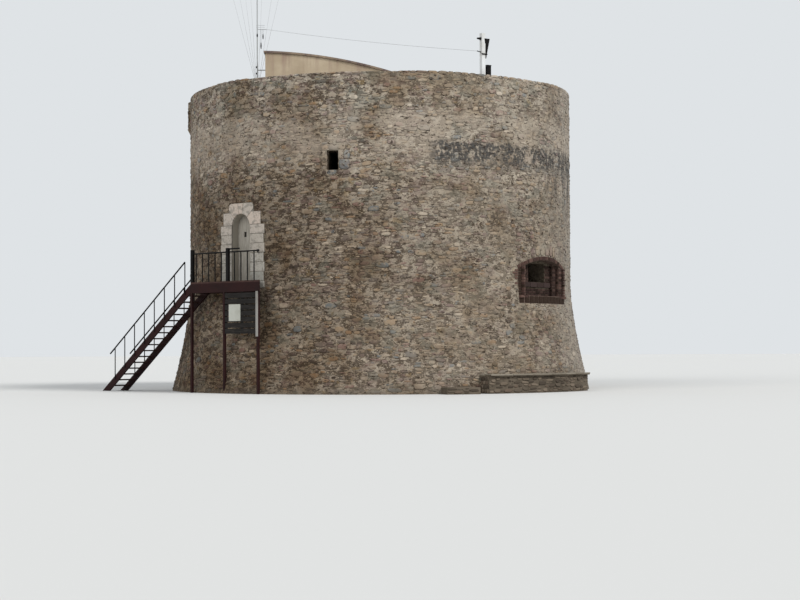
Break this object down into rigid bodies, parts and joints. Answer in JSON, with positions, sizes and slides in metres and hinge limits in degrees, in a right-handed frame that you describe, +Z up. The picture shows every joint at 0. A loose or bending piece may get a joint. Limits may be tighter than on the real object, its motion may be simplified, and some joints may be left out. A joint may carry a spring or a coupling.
{
  "type": "martello tower",
  "caption": "Round stone coast tower with a raised door, gun embrasures, a vaulted gun room and a roof terrace behind a parapet.",
  "frame": {"origin": "on the tower's axis, at the lowest ground level, on the underside of the ground floor slab", "axes": "+Z up, -Y towards the front between the door and the front embrasure, +X to the right seen from the front"},
  "size_m": [15.2196, 13.408, 12.9],
  "materials": {
    "rubble": "rough rubble masonry in pale mortar",
    "paving": "worn stone paving",
    "limewash": "old limewash over masonry",
    "dressed_stone": "dressed pale stone, weathered",
    "brick": "dark reddish brown brick",
    "render": "smooth beige render, stained",
    "roof_slab": "dark weathered concrete",
    "door_paint": "pale grey paint on boards",
    "iron": "black painted iron",
    "maroon_paint": "dark maroon paint",
    "deck": "worn dark decking",
    "dark_boards": "near black stained boards",
    "white_panel": "white painted sheet",
    "grey_paint": "pale grey paint",
    "bench_stone": "pale stone, worn",
    "mast_metal": "dull dark metal",
    "post_paint": "white paint"
  },
  "bodies": {
    "tower": {"wall_front": "rubble", "wall_door_left": "rubble", "wall_door_right": "rubble", "wall_under_door": "rubble", "wall_over_door": "rubble", "wall_east_left": "rubble", "wall_east_right": "rubble", "wall_east_breast": "rubble", "wall_east_head": "rubble", "wall_side": "rubble", "wall_back": "rubble", "wall_rear_left": "rubble", "wall_rear_right": "rubble", "wall_rear_breast": "rubble", "wall_rear_head": "rubble", "wall_west": "rubble", "parapet_front": "rubble", "parapet_right": "rubble", "parapet_back": "rubble", "parapet_left": "rubble", "flank_panel": "rubble", "ground_floor": "paving", "gun_room_floor": "paving", "vault": "limewash", "terrace_paving": "paving", "door_surround": "dressed_stone", "door_pintles": "iron", "window_surrounds": "rubble", "embrasure_arches": "brick", "embrasure_cheeks": "brick", "embrasure_sills": "brick", "landing_deck": "deck", "landing_frame": "maroon_paint", "landing_railing": "iron", "landing_screen": "dark_boards", "notice_panel": "white_panel", "screen_strip": "grey_paint", "stair_stringers": "maroon_paint", "stair_treads": "deck", "stair_railing": "iron", "bench_plinth": "bench_stone", "bench_seat": "bench_stone", "stair_head_walls": "render", "stair_head_roof": "roof_slab", "aerial_mast": "mast_metal", "lamp_post": "post_paint"},
    "door": {"door_leaf": "door_paint"}
  },
  "joints": [
    {"name": "door_hinge", "type": "hinge", "parent": "tower", "child": "door", "pos_m": [-4.17504, -3.83348, 4], "axis": [0, 0, 1], "range_deg": [0, 95]}
  ]
}
